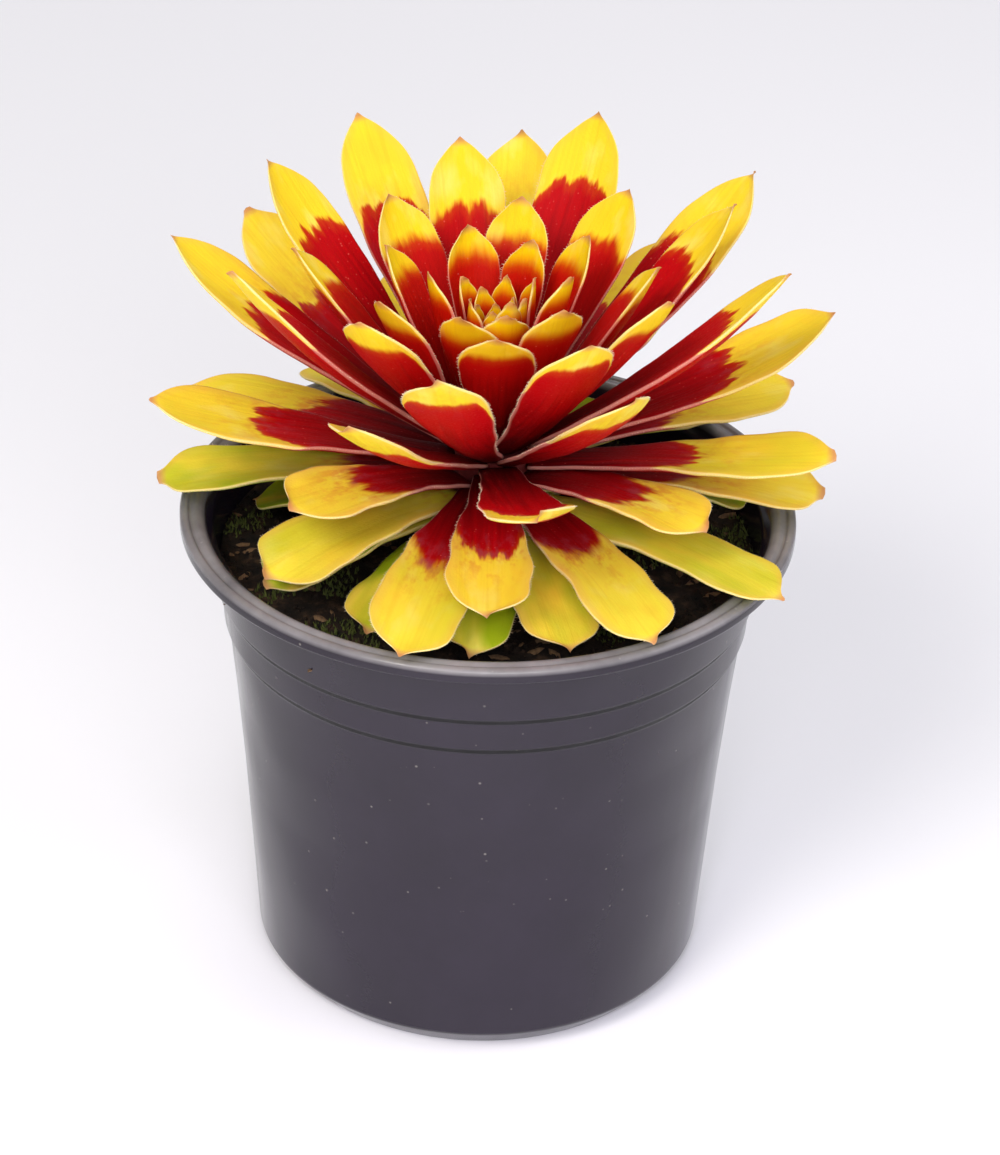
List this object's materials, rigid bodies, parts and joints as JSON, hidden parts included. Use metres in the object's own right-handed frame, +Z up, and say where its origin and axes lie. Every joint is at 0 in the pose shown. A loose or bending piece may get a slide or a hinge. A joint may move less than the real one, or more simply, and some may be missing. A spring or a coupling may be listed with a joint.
{
  "type": "hens and chicks",
  "caption": "Houseleek rosette of thick spoon-shaped leaves on a short stem, growing in soil in a round black nursery pot.",
  "frame": {"origin": "middle of the pot's foot, on the surface that the pot stands on", "axes": "+Z up along the pot's axis, -Y towards the front of the plant as the picture shows it, +X to the right seen from the front"},
  "size_m": [0.1411, 0.1409, 0.1753],
  "materials": {
    "pot": "satin",
    "soil": "matte",
    "stem": "matte",
    "heart": "satin",
    "leaf": "satin"
  },
  "bodies": {
    "root": {"pot": "pot", "soil": "soil", "stem": "stem", "heart": "heart", "leaf_01": "leaf", "leaf_02": "leaf", "leaf_03": "leaf", "leaf_04": "leaf", "leaf_05": "leaf", "leaf_06": "leaf", "leaf_07": "leaf", "leaf_08": "leaf", "leaf_09": "leaf", "leaf_10": "leaf", "leaf_11": "leaf", "leaf_12": "leaf", "leaf_13": "leaf", "leaf_14": "leaf", "leaf_15": "leaf", "leaf_16": "leaf", "leaf_17": "leaf", "leaf_18": "leaf", "leaf_19": "leaf", "leaf_20": "leaf", "leaf_21": "leaf", "leaf_22": "leaf", "leaf_23": "leaf", "leaf_24": "leaf", "leaf_25": "leaf", "leaf_26": "leaf", "leaf_27": "leaf", "leaf_28": "leaf", "leaf_29": "leaf", "leaf_30": "leaf", "leaf_31": "leaf", "leaf_32": "leaf", "leaf_33": "leaf", "leaf_34": "leaf", "leaf_35": "leaf", "leaf_36": "leaf", "leaf_37": "leaf", "leaf_38": "leaf", "leaf_39": "leaf", "leaf_40": "leaf", "leaf_41": "leaf", "leaf_42": "leaf", "leaf_43": "leaf", "leaf_44": "leaf", "leaf_45": "leaf", "leaf_46": "leaf", "leaf_47": "leaf", "leaf_48": "leaf", "leaf_49": "leaf", "leaf_50": "leaf", "leaf_51": "leaf", "leaf_52": "leaf", "leaf_53": "leaf", "leaf_54": "leaf", "leaf_55": "leaf", "leaf_56": "leaf"}
  },
  "joints": []
}
